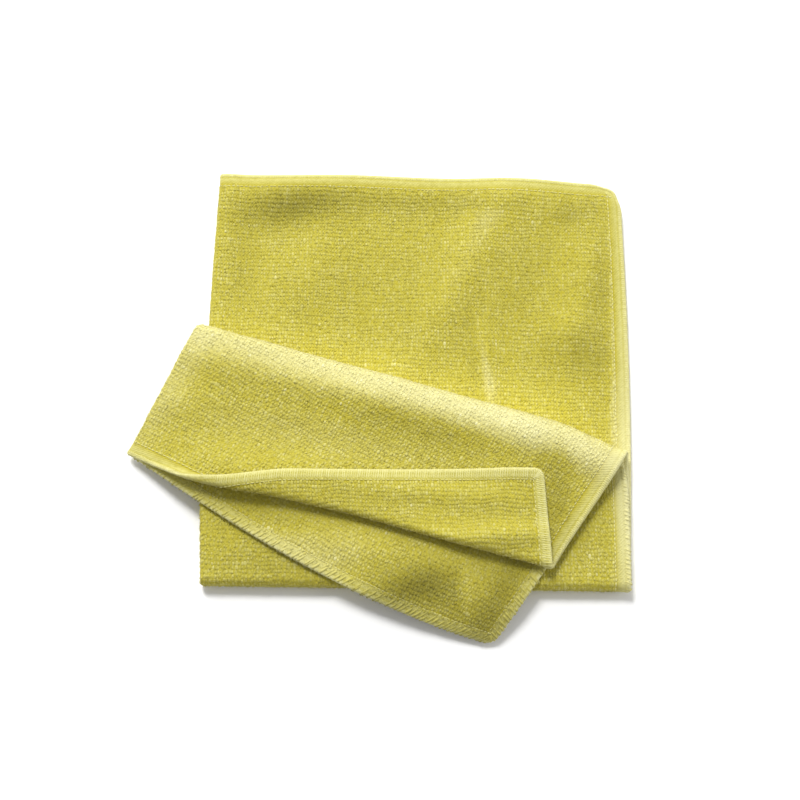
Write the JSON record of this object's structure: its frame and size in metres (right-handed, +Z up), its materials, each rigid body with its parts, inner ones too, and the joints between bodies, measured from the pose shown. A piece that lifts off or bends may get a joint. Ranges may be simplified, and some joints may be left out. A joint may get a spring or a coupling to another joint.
{
  "type": "folded microfibre cleaning cloth",
  "caption": "Square microfibre cleaning cloth folded into a slanting stack, with its upper layers turned down as a flap and the flap's free corner turned back.",
  "frame": {"origin": "middle of the footprint's bounding box, at the underside of the lowest layer", "axes": "+Z up from the surface that the cloth lies on, +Y away from the free edge of the flap, +X to the right when that edge is nearest"},
  "size_m": [0.2418, 0.2312, 0.0209],
  "materials": {
    "microfibre": "matt yellow knitted microfibre with a short looped pile"
  },
  "bodies": {
    "root": {"cloth": "microfibre"}
  },
  "joints": []
}
